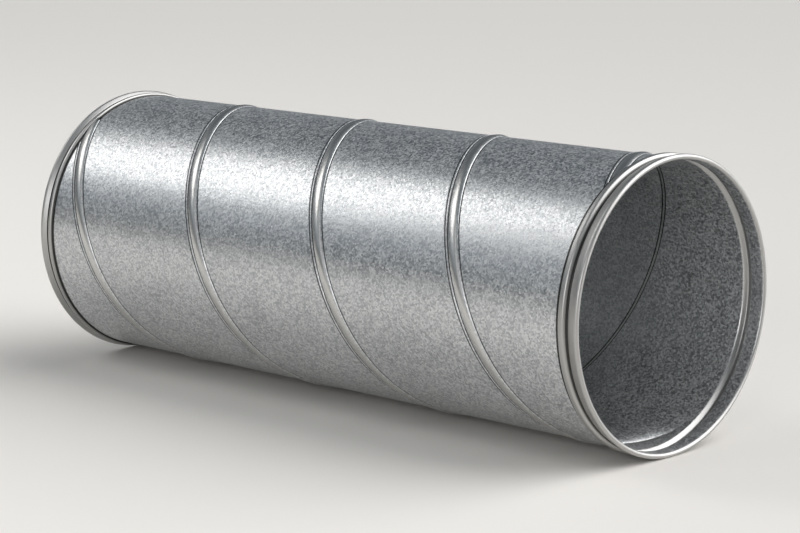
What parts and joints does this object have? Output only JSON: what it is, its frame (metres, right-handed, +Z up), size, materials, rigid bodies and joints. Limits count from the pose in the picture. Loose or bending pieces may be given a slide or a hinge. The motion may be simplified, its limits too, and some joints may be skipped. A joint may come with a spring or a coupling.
{
  "type": "spiral duct section",
  "caption": "Round galvanised spiral duct section lying on its side, open from end to end, with helical ridges along its wall and a bead and a folded lip at each mouth.",
  "frame": {"origin": "on the floor, below the middle of the duct", "axes": "+X along the duct's axis towards the near mouth, which has the wider bead and lip, +Z up"},
  "size_m": [0.55, 0.2079, 0.2079],
  "materials": {
    "galvanised_sheet": "zinc-coated sheet with a fine spangle, semi-gloss, smoother and brighter on the beads and lips"
  },
  "bodies": {
    "root": {"spiral_duct": "galvanised_sheet"}
  },
  "joints": []
}
